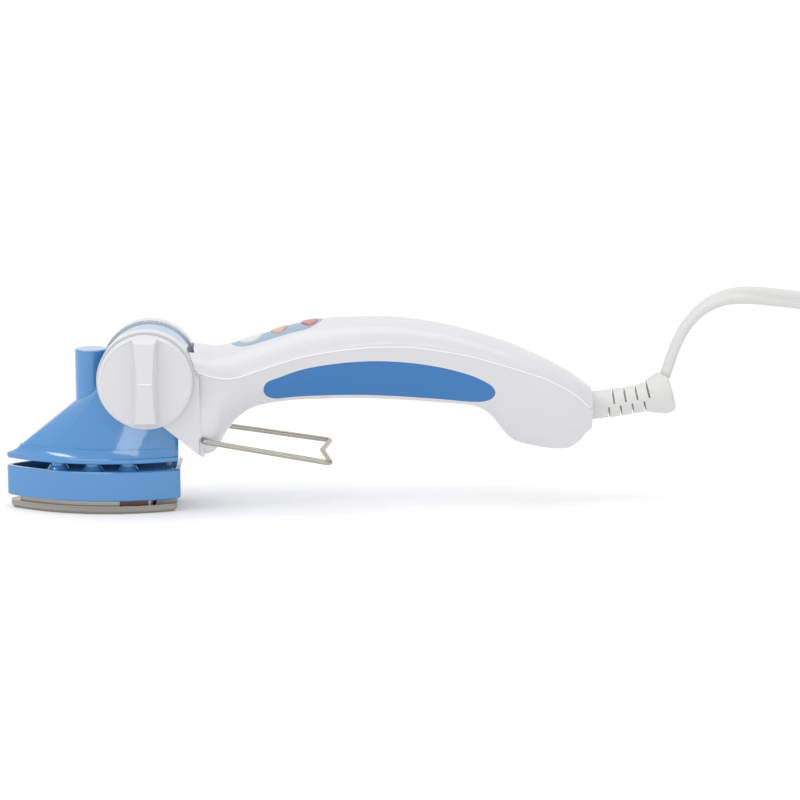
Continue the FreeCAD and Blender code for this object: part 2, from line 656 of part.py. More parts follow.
def upper_shell():
    """The upper handle half: the neck, the panel's recess and the back of the grip."""
    outer = handle_half(True)
    inner = core(size("shell_wall"), 50, 232)
    inner = inner.cut(hub_cylinder(size("slot_radius") + 2.4, -40, 40))
    panel = stadium(size("panel_front"), size("panel_rear"), size("panel_half"), 60, 120)
    panel_core = core(size("inlay") + 0.1, 56, 130)
    shell = outer.cut([inner, panel.cut(panel_core), hub_cylinder(size("slot_radius"), -14, 14),
                       hub_cylinder(size("lobe_radius") + 0.1, -40, -13.4),
                       hub_cylinder(size("lobe_radius") + 0.1, 13.4, 40)])
    bosses = [Part.makeCylinder(3.2, 40, Vector(x, 0, 66)).common(core(1, 77, 232))
              for x in SHELL_SCREWS]
    taps = [Part.makeCylinder(1.55, 10.2, Vector(x, 0, 60)) for x in SHELL_SCREWS]
    windows = [button_prism(label, size("button_gap"), -12, 6) for label in BUTTONS]
    shell = shell.fuse(bosses).cut(taps + windows + [relief_hole()])
    keep(feature(shell), "upper_shell")


def lower_shell():
    """The lower handle half, with the fork: two cheeks that end in round lobes."""
    outer = handle_half(False)
    inner = core(size("shell_wall"), 50, 232)
    inner = inner.cut(hub_cylinder(size("slot_radius") + 2.4, -40, 40))
    pockets = [grip_outline(-40, -5), grip_outline(5, 40)]
    pocket_core = core(size("inlay"), 77, 205)
    inside, outside = size("lobe_inside"), size("lobe_outside")
    cheek_line = [(size("hub_place") + 2, size("hub_height") + 2), (34.4, 42.6), (52.4, 27.8),
                  (53.9, 27.8), (52.3, 41), (51.7, 66.3), (45.3, 69.1)]
    fork = [hub_cylinder(size("lobe_radius"), low, high).fuse(prism(cheek_line, low, high))
            for low, high in ((-outside, -inside), (inside, outside))]
    solid = outer.fuse(fork)
    tools = [inner, hub_cylinder(size("slot_radius"), -inside, inside)]
    tools += [pocket.cut(pocket_core) for pocket in pockets]
    shell = solid.cut(tools)
    bosses = []
    for x in SHELL_SCREWS:
        column = Part.makeCylinder(3.4, 65.9 - guide(BELLY, x), Vector(x, 0, guide(BELLY, x)))
        bosses.append(column.common(core(1, 77, 232)))
    clamp_posts = [Part.makeCylinder(3, 16, Vector(222, y, 28)) for y in (-8, 8)]
    clamp_posts.append(Part.makeBox(3, 9, 16.4, Vector(220.5, -4.5, 28)))
    shell = shell.fuse(bosses + [post.common(core(1, 77, 232)) for post in clamp_posts])

    place, height = size("stand_place"), size("stand_height")
    drills = [Part.makeCylinder(1.7, 60, Vector(x, 0, 20)) for x in SHELL_SCREWS]
    drills += [Part.makeCylinder(3.1, 22.5 + guide(BELLY, x) - 20, Vector(x, 0, 1.5))
               for x in SHELL_SCREWS]
    drills += [Part.makeCylinder(1.3, 10, Vector(222, y, 36)) for y in (-8, 8)]
    drills += [hub_cylinder(size("bolt_radius") + size("running_gap"), -outside - 1, -inside + 1),
               hub_cylinder(size("sleeve_radius") + 0.03, inside - 1, outside + 1),
               hub_cylinder(9.6, outside - 1.9, outside + 1),
               hub_cylinder(15.1, -inside - 1.55, -inside + 1).cut(
                   hub_cylinder(8.9, -inside - 2, -inside + 1.5)),
               lead_hole(31)]
    pin = size("wire_radius") + size("running_gap")
    for low, high in ((-24, -16.5), (16.5, 24)):
        drills.append(Part.makeCylinder(pin, high - low, Vector(place, low, height), ALONG["y"]))
    for low, high in ((-24, -20.9), (20.9, 24)):
        drills.append(Part.makeBox(4.3, high - low, height - 20, Vector(place - 2.15, low, 20)))
        drills.append(Part.makeCylinder(2.15, high - low, Vector(place, low, height), ALONG["y"]))
    shell = shell.cut(drills + [relief_hole()])
    keep(feature(shell), "lower_shell")


def inlays():
    """The two soft grip inlays and the control panel, each seated in its own recess."""
    skin = handle_half(False).cut(core(size("inlay") - 0.05, 77, 205))
    for label, low, high in (("grip_insert_near", -40, -5), ("grip_insert_far", 5, 40)):
        keep(feature(skin.common(grip_outline(low, high, size("inlay_gap")))), label)
    top = handle_half(True).cut(core(size("inlay") + 0.05, 56, 130))
    panel = stadium(size("panel_front"), size("panel_rear"), size("panel_half"), 60, 120, 0.1)
    windows = [button_prism(label, size("button_gap"), -12, 6) for label in BUTTONS]
    keep(feature(top.common(panel).cut(windows)), "control_panel")


def buttons():
    """Three caps that slide square to the panel, each over its own switch."""
    for label in BUTTONS:
        cap = button_prism(label, 0, -size("button_depth"), 4).common(core(0.05, 56, 130))
        crown = button_prism(label, -0.45, -1.5, 4).common(core(-size("button_proud"), 56, 130))
        keep(feature(cap.fuse(crown)), label)


def on_board(length, width, height, along, side, lift):
    """A block on the sloping control board: its middle along and across, its foot above it."""
    solid = Part.makeBox(length, width, height, Vector(along - length / 2, side - width / 2, lift))
    spot = Placement(Vector(88, 0, guide(TOP, 88) - 8.6), Rotation(ALONG["y"], -14.2))
    return solid.transformGeometry(spot.toMatrix())


def electronics():
    """The board under the panel, with a switch below each button and two lamps."""
    keep(feature(on_board(48, 17, 1.2, 0, 0, -1.2)), "control_board")
    switches, lamps = [], []
    tilt = math.cos(math.radians(size("panel_tilt")))
    for label in BUTTONS:
        along = (BUTTONS[label][0] - 88) / tilt
        switch = on_board(6, 6, 3.2, along, 0, 0.02)
        plunger = on_board(3, 3, 0.7, along, 0, 3.2)
        switches.append(feature(switch.fuse(plunger)))
        if label != "off_button":
            lamps.append(feature(on_board(1.6, 1.2, 0.8, along - 4.2, 3.2, 0.02)))
    keep(group(*switches), "tact_switches")
    keep(group(*lamps), "indicator_lamps")


def pivot():
    """What holds the hub: the hollow sleeve, its cap, and the lock bolt with its knob."""
    hub = ("hub_place", "0", "hub_height")

    def turned(radius, low, high):
        return cylinder(radius, f"{high} - ({low})", (hub[0], low, hub[2]), "y")

    sleeve = fuse(turned("sleeve_radius", "10.8", "20.2"), turned("9.5", "20.2", "21.9"))
    keep(cut(sleeve, turned("5.2", "10", "23"), feature(lead_hole(12))), "hub_sleeve")
    cap = Part.makeCylinder(size("knob_radius"), 2.6,
                            Vector(size("hub_place"), size("lobe_outside") + 0.1,
                                   size("hub_height")), ALONG["y"])
    rim = [e for e in cap.Edges if e.BoundBox.YMin > size("lobe_outside") + 2]
    cap = cap.makeFillet(1.8, rim).fuse(hub_cylinder(4.9, 18, size("lobe_outside") + 0.2))
    keep(feature(cap.cut(lead_hole(12))), "far_side_cap")
    bolt = fuse(turned("bolt_radius", "-24.6", "-8"), turned("6.4", "-9.9", "-7.6"),
                turned("2.6", "-27.4", "-24.6"))
    keep(bolt, "lock_bolt")


def lock_knob():
    """A round cap with a waisted bar across it, to be gripped and turned a quarter turn."""
    x, z = size("hub_place"), size("hub_height")
    back, face, bar = size("knob_back"), size("knob_face"), size("knob_bar")
    radius = size("knob_radius")
    disc = hub_cylinder(radius, face, back)
    disc = disc.makeChamfer(0.9, [e for e in disc.Edges if e.BoundBox.YMax < face + 0.1])
    outlines = []
    for depth, ends, waist in ((face + 1, 6.7, 6.4), (bar, 4.8, 3.6)):
        flank = [Vector(x - ends, depth, z + 22), Vector(x - waist, depth, z),
                 Vector(x - ends, depth, z - 22)]
        facing = [Vector(2 * x - p.x, depth, p.z) for p in reversed(flank)]
        sides = [Part.Arc(*flank).toShape(), Part.LineSegment(flank[-1], facing[0]).toShape(),
                 Part.Arc(*facing).toShape(), Part.LineSegment(facing[-1], flank[0]).toShape()]
        outlines.append(Part.Wire(sides))
    grip = Part.makeLoft(outlines, True, True)
    grip = grip.common(hub_cylinder(radius - 0.9, bar - 1, back))
    ramps = []
    for way in (-1, 1):
        slope = [(bar - 2, 0), (bar - 2, 26), (face - 0.4, 26), (face - 0.6, 21.6), (bar + 0.9, 18.9),
                 (bar, 0), (bar - 2, 0)]
        corners = [Vector(x - 9, across, z + way * up) for across, up in slope]
        ramps.append(Part.Face(Part.makePolygon(corners)).extrude(Vector(18, 0, 0)))
    grip = grip.cut(ramps)
    knob = disc.fuse(grip)
    well = hub_cylinder(8, back - 3.2, back + 1)
    socket = hub_cylinder(4.05, -25.0, back + 1).fuse(hub_cylinder(2.65, -27.6, back))
    keep(feature(knob.cut([well, socket])), "lock_knob")
    helix = Part.makeHelix(0.95, 2.6, 5.6)
    helix.Placement = Placement(Vector(x, back - 2.7, z), Rotation(ALONG["z"], ALONG["y"]))
    edge = helix.Edges[0]
    ring = Part.Wire([Part.Circle(edge.valueAt(edge.FirstParameter),
                                  edge.tangentAt(edge.FirstParameter), 0.35).toShape()])
    keep(feature(Part.Wire(helix.Edges).makePipeShell([ring], True, True)), "lock_spring")


def wire_stand():
    """One bent wire: two legs that splay from the cheeks to a shallow V at the free end."""
    place, height = size("stand_place"), size("stand_height")
    leg, end = size("stand_leg"), size("stand_end")
    reach, low = size("stand_reach"), size("stand_end_height")
    route = [(place, -17, height), (place, -leg, height), (reach, -end, low),
             (reach - 4, 0, low + 0.7), (reach, end, low), (place, leg, height),
             (place, 17, height)]
    keep(wire_piece(route, size("wire_radius"), 2.4), "wire_stand")


# ---------------------------------------------------------------- handle: inside and cord

def handle_wiring():
    x, z = size("hub_place"), size("hub_height")
    side = size("lead_side")
    loop = [(x, 6, z), (x, side, z), (57.5, side, z), (62, 9, z + 1.9), (65.5, 6, z + 4)]
    keep(wire_piece(loop, 1.5, 3.5), "handle_leads")
    leads = []
    for way in (-1, 1):
        back = [(236, 2, 47.6), (226, 2, 45.9), (218.3, 2.4, 45.9), (215.5, 5.6, 50),
                (206, 5.6, 50)]
        front = [(203, 5.6, 50), (196, 5.6, 50), (184, 6, 60), (150, 6, 66), (120, 6, 68),
                 (109, 5, 79.1)]
        leads += [wire_piece([(x, y * way, z) for x, y, z in back], 1.15, 3),
                  wire_piece([(x, y * way, z) for x, y, z in front], 1.15, 6)]
    keep(group(*leads), "mains_leads")
    sleeves = [cut(cylinder("2.3", "9.4", ("199.8", y, "50"), "x"),
                   cylinder("1.2", "12", ("198.5", y, "50"), "x")) for y in ("-5.6", "5.6")]
    keep(group(*sleeves), "wire_connectors")
    keep(cut(centred_box("5", "24", "3", ("222", "0", "47.2")),
             *[cylinder("1.7", "6", ("222", y, "46")) for y in ("-8", "8")]), "cord_clamp")
    posts = [fuse(cylinder("2.6", "1.6", ("222", y, "50.22")),
                  cylinder("1.25", "12", ("222", y, "38.3"))) for y in ("-8", "8")]
    keep(group(*posts), "cord_clamp_screws")
    screws = [screw(str(x), "0", f"{guide(BELLY, x) + 3.95:.2f}", 1.5,
                    f"{69.6 - guide(BELLY, x) - 3.95:.2f}", 2.8, 2)
              for x in SHELL_SCREWS]
    keep(group(*screws), "shell_screws")


RELIEF = [(235.5, 6.7), (247.5, 6.7), (258.5, 6.7), (264.2, 7.0), (267.7, 8.3), (270.8, 9.6),
          (273.7, 10.1), (276.3, 9.4), (277.5, 7.6)]


def relief_axis(x):
    """The height and slope of the sleeve's gently rising axis."""
    t = (x - 235.5) / 43.5
    return 47.6 + 43.5 * (0.058 * t + 0.118 * t * t), math.atan(0.058 + 0.236 * t)


def strain_relief():
    """A slotted sleeve moulded on the cord, with a bulb where the cord comes out."""
    rings = []
    for x in [235.5 + 2.1 * k for k in range(21)]:
        z, slope = relief_axis(x)
        along = Vector(math.cos(slope), 0, math.sin(slope))
        circle = Part.Circle(Vector(x, 0, z), along, guide(RELIEF, x))
        rings.append(Part.Wire([circle.toShape()]))
    sleeve = Part.makeLoft(rings, True, False)
    slots = []
    for k in range(4):
        for low, x in ((0.6, 249.6 + 5.6 * k), (-9, 246.8 + 5.6 * k)):
            z, slope = relief_axis(x)
            slot = Part.makeBox(0.9, 20, 8.4, Vector(-0.45, -10, low))
            slot = slot.cut(Part.makeCylinder(4.3, 2, Vector(-1, 0, 0), ALONG["x"]))
            turn = Placement(Vector(x, 0, z), Rotation(ALONG["y"], -math.degrees(slope)))
            slots.append(slot.transformGeometry(turn.toMatrix()))
    bore = Part.makeCylinder(3.4, 6, Vector(231, 0, 47.25), Vector(1, 0, 0.06))
    keep(feature(sleeve.cut(slots + [bore])), "strain_relief")


# The free cord's route, from the bulb to the folded bundle.
CORD = [(274.4, 0, 62.0), (278.1, 0, 75.0), (284.7, 0, 88.2), (295.1, 0, 97.6),
        (308.3, 0, 101.6), (329, 0, 99.7), (350, 0, 96.8), (369.5, 0, 87.3), (386, 0.5, 72.0),
        (401, 2, 54.5), (417, 4.5, 39), (437, 9.4, 28.6), (457.5, 17.5, 22.2)]
# One turn of the bundle, seen from above: a waist arc, a straight and a round end loop.
WAIST, NECK, SHOULDER, LOOP = (0, 4.7), (22.7, 13.5), (27.6, 18.4), (72, 0)


def bundle_outline():
    x = size("hank_place")

    def spot(point, east, north):
        return Vector(x + east * point[0], north * point[1], 0)

    edges = []
    for east, north in ((1, 1), (-1, -1)):
        edges += [Part.Arc(spot(NECK, -east, north), spot(WAIST, east, north),
                           spot(NECK, east, north)).toShape(),
                  Part.LineSegment(spot(NECK, east, north), spot(SHOULDER, east, north)).toShape(),
                  Part.Arc(spot(SHOULDER, east, north), spot(LOOP, east, north),
                           spot(SHOULDER, east, -north)).toShape(),
                  Part.LineSegment(spot(SHOULDER, east, -north),
                                   spot(NECK, east, -north)).toShape()]
    middle = Part.Wire(edges)
    return middle.makeOffset2D(size("cord_width") / 2)


def cord():
    """The free cord: a tube to the bundle, the bundle, its tie, and the tail to the plug."""
    path, radii = bent_path(CORD)
    tube = pipe(path, size("cord_radius"))
    print("cord tube", round(path.Length, 1), "mm, radii", [round(r, 1) for r in radii])
    print("volume share", round(tube.Volume / (math.pi * size("cord_radius") ** 2
                                               * path.Length), 4))
    keep(feature(tube), "power_cord")
    x, half, thick = size("hank_place"), size("tie_half"), size("tie_thick")
    height = size("hank_height")
    bundle = Part.Face(bundle_outline()).extrude(Vector(0, 0, height))
    waist = WAIST[1] + size("cord_width") / 2 + 0.6
    room = Part.makeBox(2 * half, 2 * waist, height - 1, Vector(x - half, -waist, thick))
    band = Part.makeBox(2 * half, 2 * (waist + thick), height + thick,
                        Vector(x - half, -waist - thick, 0))
    keep(feature(bundle.cut(band.cut(room))), "cord_coil")
    keep(feature(band.cut(room)), "cord_tie")
    tail = Part.LineSegment(Vector(498, 12.5, 3.1), Vector(516, 7, 6)).toShape()
    keep(feature(pipe(Part.Wire([tail]), 2.4)), "cord_tail")


def plug():
    """A flat two-blade mains plug, lying on its side beside the bundle."""
    start, side, height = "plug_start", "plug_side", "plug_height"
    neck = cone("3.6", "4.6", "9", (start, side, height), "x")
    body = box("17", "24", "11", (start + " + 8.5", side + " - 12", height + " - 5.5"))
    soft = doc.addObject("Part::Fillet", "PlugRound")
    soft.Base = body
    doc.recompute()
    soft.Edges = [(n, 2.5, 2.5) for n in range(1, len(body.Shape.Edges) + 1)]
    keep(fuse(neck, soft), "plug_body")
    blades = []
    for way, tall in (("-", 6.3), ("+", 7.9)):
        blades.append(box("17", "1.5", str(tall), (start + " + 25.5",
                                                   f"{side} {way} blade_gap / 2 - 0.75",
                                                   f"{height} - {tall / 2}")))
    keep(group(*blades), "plug_blades")


# ---------------------------------------------------------------- build, check and write

soleplate()
heater()
spacers()
guard_ring()
head_screws()
head_housing()
detent_ring("hub_detent_ring", "-hub_half", -size("hub_half") - 0.3)
detent_ring("fork_detent_ring", "-lobe_inside - 1.5", -size("lobe_inside") - 0.3)
head_leads()
upper_shell()
lower_shell()
inlays()
buttons()
electronics()
pivot()
lock_knob()
wire_stand()
handle_wiring()
strain_relief()
cord()
plug()
doc.recompute()

failed = [thing.Label for thing in doc.Objects if {"Invalid", "Error"} & set(thing.State)]
for thing in kept:
    shape = thing.Shape
    if shape.isNull() or not shape.isValid() or not shape.Solids or shape.Volume <= 0:
        failed.append(thing.Label)
    print(f"{thing.Label:20s} {len(shape.Solids):2d} solids {shape.Volume / 1000:9.3f} cm3")
if failed:
    raise SystemExit(f"not sound: {failed}")
os.makedirs("parts", exist_ok=True)
for thing in kept:
    thing.Shape.exportStep(f"parts/{thing.Label}.step")
print(len(kept), "sub-parts written")
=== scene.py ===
"""Looks of a small hand-held iron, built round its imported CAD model. Metres, +Z up."""

import json
import math

import bmesh
import bpy
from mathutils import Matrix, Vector

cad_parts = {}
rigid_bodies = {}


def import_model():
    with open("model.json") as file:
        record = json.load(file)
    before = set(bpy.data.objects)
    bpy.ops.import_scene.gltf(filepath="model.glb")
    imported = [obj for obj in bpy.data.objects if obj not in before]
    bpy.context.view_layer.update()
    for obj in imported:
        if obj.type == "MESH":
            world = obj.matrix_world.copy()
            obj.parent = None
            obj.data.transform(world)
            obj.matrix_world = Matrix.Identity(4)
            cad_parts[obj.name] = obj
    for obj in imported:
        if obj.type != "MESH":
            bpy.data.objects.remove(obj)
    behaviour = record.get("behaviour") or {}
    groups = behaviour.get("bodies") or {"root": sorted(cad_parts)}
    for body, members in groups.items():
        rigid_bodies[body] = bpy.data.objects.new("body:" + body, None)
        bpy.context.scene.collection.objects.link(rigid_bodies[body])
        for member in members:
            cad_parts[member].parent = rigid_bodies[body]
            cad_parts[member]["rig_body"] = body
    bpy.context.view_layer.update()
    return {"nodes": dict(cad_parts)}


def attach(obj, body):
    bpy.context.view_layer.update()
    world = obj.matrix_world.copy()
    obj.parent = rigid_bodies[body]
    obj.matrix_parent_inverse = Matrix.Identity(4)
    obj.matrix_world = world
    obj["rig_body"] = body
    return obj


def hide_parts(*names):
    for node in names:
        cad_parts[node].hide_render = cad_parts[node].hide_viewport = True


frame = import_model()
nodes = frame["nodes"]
MM = 0.001


# ---------------------------------------------------------------- camera and light

CAMERA_TARGET, CAMERA_DISTANCE = (0.1470, 0, 0.0508), 1.36
CAMERA_TURN, CAMERA_TILT = -1.5, 10.5
SENSOR_WIDTH, LENS = 36, 127.5
LIGHT_TARGET = (0.10, 0, 0.06)
# name: place, width, height, power
LIGHTS = {
    "top_light": ((0.1, -0.1, 1.2), 1.2, 0.8, 3.5),
    "left_light": ((-0.75, -0.45, 1.0), 0.35, 0.35, 2.5),
    "front_light": ((0.1, -1.5, 0.25), 0.5, 0.3, 1.2),
}
WORLD_GLOW = 0.95
FLOOR_REACH, FAR_FLOOR_REACH = 0.8, 14.0
FLOOR_PLACE = (0.15, 0, -0.0002)


def aim(thing, target):
    """Turn a camera or lamp to face a point."""
    thing.rotation_euler = (Vector(target) - thing.location).to_track_quat("-Z", "Y").to_euler()


def camera():
    """A long lens from the near side, a little above the iron."""
    target = Vector(CAMERA_TARGET)
    turn, tilt = math.radians(CAMERA_TURN), math.radians(CAMERA_TILT)
    data = bpy.data.cameras.new("camera")
    data.sensor_width = SENSOR_WIDTH
    data.lens = LENS
    data.clip_start, data.clip_end = 0.05, 20
    eye = bpy.data.objects.new("camera", data)
    bpy.context.scene.collection.objects.link(eye)
    eye.location = target + CAMERA_DISTANCE * Vector((math.sin(turn) * math.cos(tilt),
                                                      -math.cos(turn) * math.cos(tilt),
                                                      math.sin(tilt)))
    aim(eye, target)
    bpy.context.scene.camera = eye


def soft_box(name, place, width, height, power):
    """A rectangular area lamp aimed at the iron."""
    data = bpy.data.lights.new(name, "AREA")
    data.shape, data.size, data.size_y, data.energy = "RECTANGLE", width, height, power
    lamp = bpy.data.objects.new(name, data)
    bpy.context.scene.collection.objects.link(lamp)
    lamp.location = place
    aim(lamp, LIGHT_TARGET)


def sheet(name, outer, inner, albedo, glow):
    """A white square sheet on the ground, which may have a square opening in its middle."""
    corners = [(-1, -1), (1, -1), (1, 1), (-1, 1)]
    mesh = bpy.data.meshes.new(name)
    if inner:
        points = [(x * r, y * r, 0) for r in (outer, inner) for x, y in corners]
        mesh.from_pydata(points, [], [(k, (k + 1) % 4, 4 + (k + 1) % 4, 4 + k) for k in range(4)])
    else:
        mesh.from_pydata([(x * outer, y * outer, 0) for x, y in corners], [], [(0, 1, 2, 3)])
    ground = bpy.data.objects.new(name, mesh)
    bpy.context.scene.collection.objects.link(ground)
    ground.location = FLOOR_PLACE
    white = plastic(name + "_white", (albedo, albedo, albedo), 0.9)
    shader = white.node_tree.nodes["Principled BSDF"]
    shader.inputs["Specular IOR Level"].default_value = 0.0
    shader.inputs["Emission Color"].default_value = (1, 1, 1, 1)
    shader.inputs["Emission Strength"].default_value = glow
    ground.data.materials.append(white)


def studio():
    """A white surround, a broad top light, and two smaller ones at the left and in front."""
    world = bpy.data.worlds.new("studio")
    bpy.context.scene.world = world
    world.use_nodes = True
    backdrop = world.node_tree.nodes["Background"]
    backdrop.inputs["Color"].default_value = (1, 1, 1, 1)
    backdrop.inputs["Strength"].default_value = WORLD_GLOW
    for name, (place, width, height, power) in LIGHTS.items():
        soft_box(name, place, width, height, power)
    bpy.context.scene.view_settings.view_transform = "Standard"
    sheet("floor", FLOOR_REACH, 0, 0.82, 0.14)
    sheet("far_floor", FAR_FLOOR_REACH, FLOOR_REACH, 0.3, 0.95)


# ---------------------------------------------------------------- materials

MOTTLE_AND_REFLECTION_SCALE, MOTTLE_AND_REFLECTION_DETAIL = 35, 4
GRAIN_DETAIL, GRAIN_DEPTH = 3, 0.0002


def plastic(name, colour, roughness, bump=0.0, scale=900.0, mottle_and_reflection=0.02, coat=0.0, metal=0.0,
            reflection_streak=(1, 1, 1)):
    """A moulded or metal surface: a faint random mottle of its colour, which on the polished
    steel is strong and stretched into painted reflection bands, and a fine bump.
    """
    material = bpy.data.materials.new(name)
    material.use_nodes = True
    tree = material.node_tree
    shader = tree.nodes["Principled BSDF"]
    shader.inputs["Roughness"].default_value = roughness
    shader.inputs["Metallic"].default_value = metal
    shader.inputs["Coat Weight"].default_value = coat
    place = tree.nodes.new("ShaderNodeTexCoord")
    cloud = tree.nodes.new("ShaderNodeTexNoise")
    cloud.inputs["Scale"].default_value = MOTTLE_AND_REFLECTION_SCALE
    cloud.inputs["Detail"].default_value = MOTTLE_AND_REFLECTION_DETAIL
    stretch = tree.nodes.new("ShaderNodeMapping")
    stretch.inputs["Scale"].default_value = reflection_streak
    tree.links.new(place.outputs["Object"], stretch.inputs["Vector"])
    tree.links.new(stretch.outputs["Vector"], cloud.inputs["Vector"])
    blend = tree.nodes.new("ShaderNodeMix")
    blend.data_type = "RGBA"
    tree.links.new(cloud.outputs["Fac"], blend.inputs["Factor"])
    blend.inputs["A"].default_value = (*[c * (1 - mottle_and_reflection) for c in colour], 1)
    blend.inputs["B"].default_value = (*[min(1, c * (1 + mottle_and_reflection)) for c in colour], 1)
    tree.links.new(blend.outputs["Result"], shader.inputs["Base Color"])
    if bump:
        grain = tree.nodes.new("ShaderNodeTexNoise")
        grain.inputs["Scale"].default_value = scale
        grain.inputs["Detail"].default_value = GRAIN_DETAIL
        tree.links.new(place.outputs["Object"], grain.inputs["Vector"])
        raised = tree.nodes.new("ShaderNodeBump")
        raised.inputs["Strength"].default_value = bump
        raised.inputs["Distance"].default_value = GRAIN_DEPTH
        tree.links.new(grain.outputs["Fac"], raised.inputs["Height"])
        tree.links.new(raised.outputs["Normal"], shader.inputs["Normal"])
    return material


def dress(material, *names):
    """Give CAD nodes a material."""
    for name in names:
        mesh = nodes[name].data
        mesh.materials.clear()
        mesh.materials.append(material)


def dress_nodes():
    """Dress every CAD node, and ease the edges of the ones that show."""
    white = plastic("white_plastic", (0.62, 0.62, 0.64), 0.26, 0.04, 1400, coat=0.2)
    blue = plastic("blue_plastic", (0.050, 0.225, 0.505), 0.15, 0.03, 1400, coat=1.0)
    grip = plastic("grip_blue", (0.028, 0.163, 0.42), 0.5, 0.15, 2500)
    panel = plastic("panel_blue", (0.275, 0.385, 0.49), 0.28)
    # painted reflection: the steel's strong mottle, stretched along Z, paints light and dark
    # bands of reflected surround on the plate
    steel = plastic("polished_steel", (0.36, 0.335, 0.30), 0.12, mottle_and_reflection=0.55, metal=1.0,
                    reflection_streak=(0.3, 0.3, 14))
    wire = plastic("steel_wire", (0.40, 0.375, 0.32), 0.24, metal=1.0)
    parts = plastic("steel_parts", (0.6, 0.6, 0.6), 0.35, metal=1.0)
    brass = plastic("brass_parts", (0.7, 0.52, 0.25), 0.3, metal=1.0)
    black = plastic("black_plastic", (0.02, 0.02, 0.022), 0.4)
    fibre = plastic("cream_fibre", (0.66, 0.62, 0.54), 0.9, 0.3, 2000, mottle_and_reflection=0.06)
    brown = plastic("brown_moulding", (0.19, 0.07, 0.045), 0.5, mottle_and_reflection=0.1)
    cord = plastic("cord_white", (0.62, 0.62, 0.61), 0.5)
    sleeving = plastic("lead_sleeve", (0.6, 0.58, 0.5), 0.8, 0.4, 1500)
    dress(steel, "soleplate")
    dress(wire, "wire_stand")
    dress(parts, "heating_element", "thermostat", "housing_screws", "soleplate_screws",
          "hub_detent_ring", "fork_detent_ring", "cord_clamp_screws", "shell_screws",
          "lock_bolt", "lock_spring")
    dress(plastic("cast_aluminium", (0.6, 0.6, 0.6), 0.5, 0.3, 700, metal=1.0), "heater_block")
    dress(brass, "thermal_fuse", "hub_sleeve", "wire_connectors", "plug_blades")
    dress(black, "terminal_block", "tact_switches", "cord_clamp", "cord_tie")
    dress(fibre, "insulation_pad")
    dress(brown, "thermal_spacer")
    dress(sleeving, "head_leads", "handle_leads", "mains_leads")
    dress(plastic("board_green", (0.02, 0.15, 0.06), 0.4), "control_board")
    dress(plastic("lamp_lens", (0.7, 0.2, 0.15), 0.2), "indicator_lamps")
    # slot: material, and each node's edge radius in mm
    eased_look = {
        "blue_plastic": (blue, {"head_housing": 0.8, "guard_ring": 0.35}),
        "white_plastic": (white, {"upper_shell": 0.3, "lower_shell": 0.35, "far_side_cap": 0.3,
                                  "lock_knob": 0.4}),
        "grip_blue": (grip, {"grip_insert_near": 0.3, "grip_insert_far": 0.3}),
        "panel_blue": (panel, {"control_panel": 0.25}),
        "key_white": (plastic("key_white", (0.64, 0.64, 0.62), 0.35), {"off_button": 0.4}),
        "key_pink": (plastic("key_pink", (0.60, 0.38, 0.35), 0.35), {"low_button": 0.4}),
        "key_red": (plastic("key_red", (0.52, 0.21, 0.22), 0.35), {"high_button": 0.4}),
        "cord_white": (cord, {"strain_relief": 0.25, "plug_body": 0.2}),
    }
    for slot, (material, pieces) in eased_look.items():
        for node, radius in pieces.items():
            dress(material, node)
            eased(node, material, radius)
    ring_deck()
    return cord


# ---------------------------------------------------------------- CAD pieces with eased edges

EDGE_ANGLE, HOUSING_EDGE_ANGLE = 28, 16
WELD, SLIVER = 2e-6, 1e-6


def eased(node, material, radius):
    """A copy of a CAD node whose sharp edges are rounded off, shown in the node's place."""
    source = nodes[node]
    copy = bpy.data.objects.new(node + "_eased", source.data.copy())
    bpy.context.scene.collection.objects.link(copy)
    shape = bmesh.new()
    shape.from_mesh(copy.data)
    bmesh.ops.remove_doubles(shape, verts=shape.verts, dist=WELD)
    bmesh.ops.dissolve_degenerate(shape, edges=shape.edges, dist=SLIVER)
    for face in shape.faces:
        face.smooth = True
    shape.to_mesh(copy.data)
    shape.free()
    if copy.data.has_custom_normals:
        with bpy.context.temp_override(object=copy, active_object=copy):
            bpy.ops.mesh.customdata_custom_splitnormals_clear()
    edge = copy.modifiers.new("edge", "BEVEL")
    edge.width, edge.segments = radius * MM, 3
    angle = HOUSING_EDGE_ANGLE if node == "head_housing" else EDGE_ANGLE
    edge.limit_method, edge.angle_limit = "ANGLE", math.radians(angle)
    edge.use_clamp_overlap = True
    edge.harden_normals = False
    edge.miter_outer = "MITER_ARC"
    normals = copy.modifiers.new("normals", "WEIGHTED_NORMAL")
    normals.keep_sharp = True
    copy.data.materials.clear()
    copy.data.materials.append(material)
    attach(copy, source["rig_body"])
    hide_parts(node)


# ---------------------------------------------------------------- the guard ring's deck

DECK_FLANK = ((-22, 13.0), (7, 18.7), (37.5, 13.0))
DECK_CORNER = ((37.5, 13.0), (39.1, 12.0), (39.7, 10.3))
DECK_LEVELS = ((18.95, 0.3), (19.2, 0.0), (19.55, 0.0), (19.8, 0.3))  # height, inset of the edge


def arc_points(start, middle, end, count):
    """Points along the circle's arc through three points in the plane."""
    (ax, ay), (bx, by), (cx, cy) = start, middle, end
    twice = 2 * (ax * (by - cy) + bx * (cy - ay) + cx * (ay - by))
    a2, b2, c2 = ax * ax + ay * ay, bx * bx + by * by, cx * cx + cy * cy
    x = (a2 * (by - cy) + b2 * (cy - ay) + c2 * (ay - by)) / twice
    y = (a2 * (cx - bx) + b2 * (ax - cx) + c2 * (bx - ax)) / twice
    radius = math.hypot(ax - x, ay - y)
    first, last = math.atan2(ay - y, ax - x), math.atan2(cy - y, cx - x)
    return [(x + radius * math.cos(first + (last - first) * k / count),
             y + radius * math.sin(first + (last - first) * k / count)) for k in range(count + 1)]


